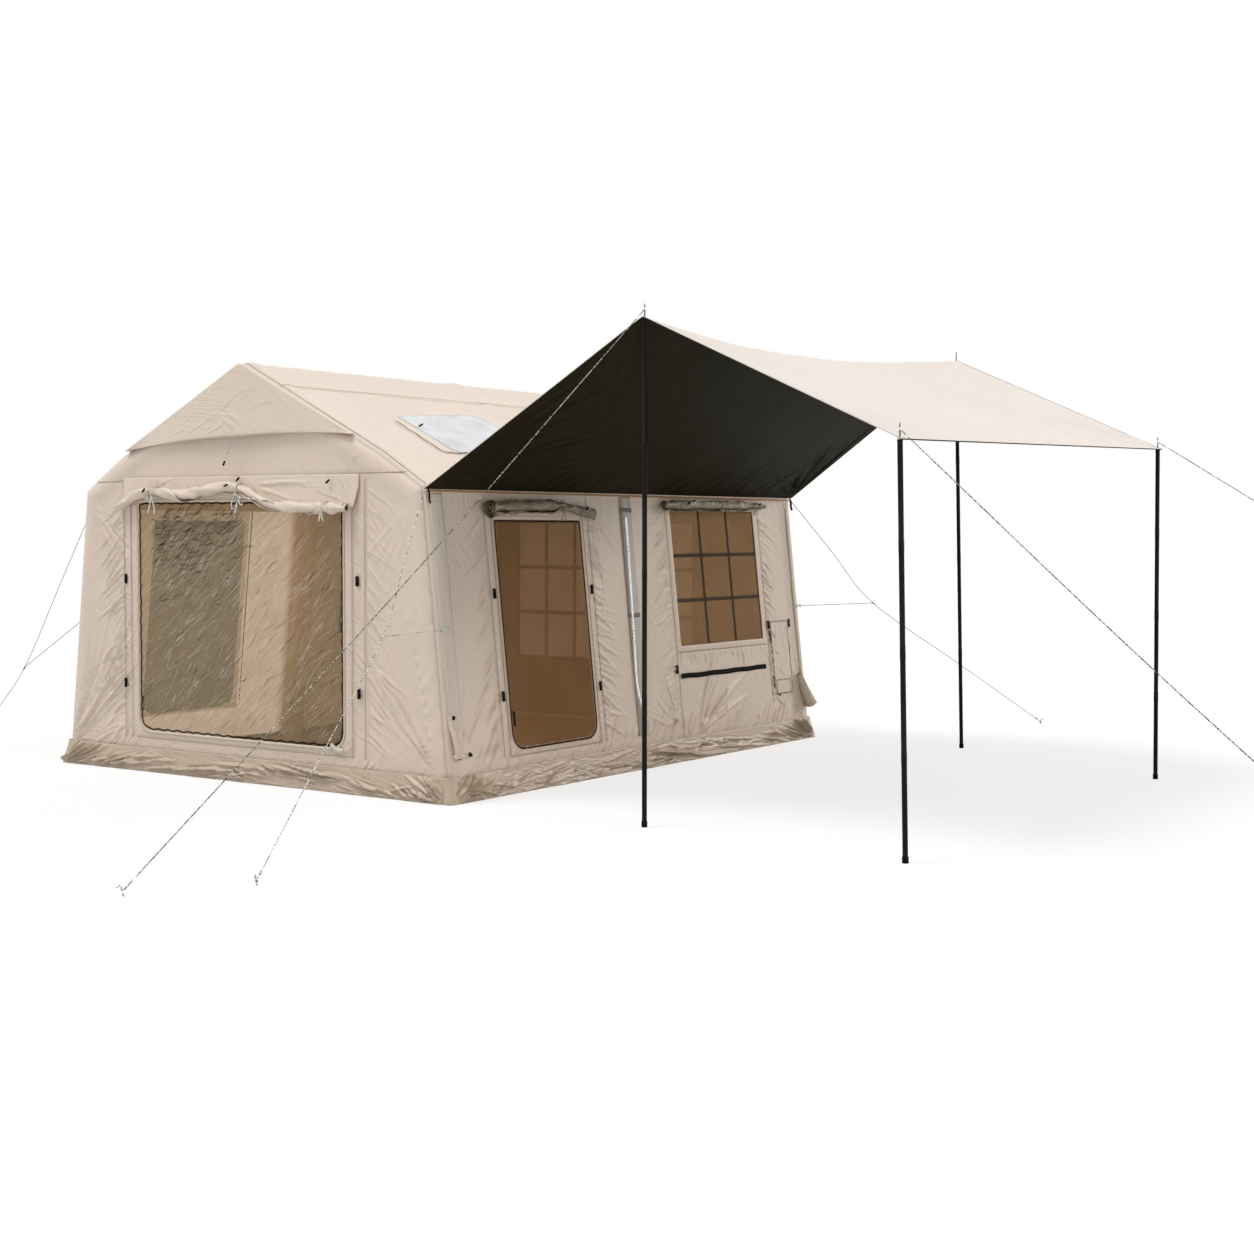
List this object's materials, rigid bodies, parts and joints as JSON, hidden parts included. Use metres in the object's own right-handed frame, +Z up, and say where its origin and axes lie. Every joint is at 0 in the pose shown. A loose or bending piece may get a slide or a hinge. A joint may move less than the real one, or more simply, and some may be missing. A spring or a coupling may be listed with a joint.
{
  "type": "inflatable tent",
  "caption": "Inflatable cabin tent with gabled roof, clear front door, mesh side doors and windows, rolled covers, air beams and a pole-held side awning with guy ropes.",
  "frame": {"origin": "middle of the floor's underside, on the ground", "axes": "+Z up, +X out of the long wall towards the awning, +Y along the ridge from the front gable to the rear one"},
  "size_m": [9.9641, 8.4408, 2.6607],
  "materials": {
    "canvas": "matte woven polyester cotton, beige",
    "olive_lining": "matte woven, olive khaki",
    "awning_canvas": "matte woven, pale beige above and black coated below",
    "groundsheet": "coated groundsheet, satin",
    "clear_sheet": "clear flexible sheet, glossy and creased",
    "insect_mesh": "fine insect mesh with webbing",
    "air_beam": "sleeved inflatable tube, satin",
    "valve_plastic": "moulded, matte black",
    "zip": "black zip and slider",
    "pole_metal": "black powder coat, satin",
    "peg_steel": "plain steel",
    "guy_rope": "braided cord, dark with white flecks"
  },
  "bodies": {
    "tent": {"front_wall": "canvas", "rear_wall": "canvas", "right_wall": "canvas", "left_wall": "canvas", "right_roof": "canvas", "left_roof": "canvas", "front_hood": "canvas", "rear_hood": "canvas", "front_door_cover": "canvas", "rear_window_cover": "canvas", "right_door_cover": "olive_lining", "left_door_cover": "olive_lining", "right_window_cover": "olive_lining", "left_window_cover": "olive_lining", "awning": "awning_canvas", "floor": "groundsheet", "skylight_pane": "clear_sheet", "right_window": "insect_mesh", "left_window": "insect_mesh", "rear_window": "insect_mesh", "front_arch": "air_beam", "middle_arch": "air_beam", "rear_arch": "air_beam", "ridge_beam_front": "air_beam", "ridge_beam_rear": "air_beam", "right_eave_beam_front": "air_beam", "right_eave_beam_rear": "air_beam", "left_eave_beam_front": "air_beam", "left_eave_beam_rear": "air_beam", "valve_body": "valve_plastic", "cable_port_zip": "zip", "near_ridge_pole": "pole_metal", "near_outer_pole": "pole_metal", "far_ridge_pole": "pole_metal", "far_outer_pole": "pole_metal", "near_ridge_peg": "peg_steel", "near_outer_peg": "peg_steel", "far_outer_peg": "peg_steel", "near_peg": "peg_steel", "far_peg": "peg_steel", "left_peg": "peg_steel", "near_ridge_guy": "guy_rope", "near_outer_guy": "guy_rope", "far_outer_guy": "guy_rope", "near_guy": "guy_rope", "near_guy_branch": "guy_rope", "far_guy": "guy_rope", "far_guy_branch": "guy_rope", "left_guy": "guy_rope", "left_guy_branch": "guy_rope", "spare_guy": "guy_rope"},
    "front_door": {"front_door": "clear_sheet"},
    "front_door_slider": {"front_door_slider": "zip"},
    "right_door": {"right_door": "insect_mesh"},
    "right_door_slider": {"right_door_slider": "zip"},
    "left_door": {"left_door": "insect_mesh"},
    "left_door_slider": {"left_door_slider": "zip"},
    "cable_port_slider": {"cable_port_slider": "zip"},
    "duct_flap": {"duct_flap": "canvas"},
    "valve_cap": {"valve_cap": "valve_plastic"}
  },
  "joints": [
    {"name": "front_door_hinge", "type": "hinge", "parent": "tent", "child": "front_door", "pos_m": [0.81, -1.9927, 0], "axis": [0, 0, -1], "range_deg": [0, 100]},
    {"name": "front_door_zip", "type": "slide", "parent": "front_door", "child": "front_door_slider", "axis": [0, 0, 1], "range_m": [0, 1.12]},
    {"name": "right_door_hinge", "type": "hinge", "parent": "tent", "child": "right_door", "pos_m": [1.56328, -0.6, 0.00037], "axis": [-0.1111, 0, 0.9938], "range_deg": [0, 150]},
    {"name": "right_door_zip", "type": "slide", "parent": "right_door", "child": "right_door_slider", "axis": [-0.1111, 0, 0.9938], "range_m": [0, 1.04]},
    {"name": "left_door_hinge", "type": "hinge", "parent": "tent", "child": "left_door", "pos_m": [-1.56328, -0.6, 0.00037], "axis": [-0.1111, 0, -0.9938], "range_deg": [0, 150]},
    {"name": "left_door_zip", "type": "slide", "parent": "left_door", "child": "left_door_slider", "axis": [0.1111, 0, 0.9938], "range_m": [0, 1.04]},
    {"name": "cable_port_zip_slide", "type": "slide", "parent": "tent", "child": "cable_port_slider", "axis": [0, 1, 0], "range_m": [-0.76, 0.2]},
    {"name": "duct_flap_hinge", "type": "hinge", "parent": "tent", "child": "duct_flap", "pos_m": [1.4694, 1.655, 0.84037], "axis": [0, -1, 0], "range_deg": [0, 120]},
    {"name": "valve_cap_hinge", "type": "hinge", "parent": "tent", "child": "valve_cap", "pos_m": [1.33454, -1.8977, 0.44752], "axis": [0.1111, 0, -0.9938], "range_deg": [0, 150]}
  ]
}
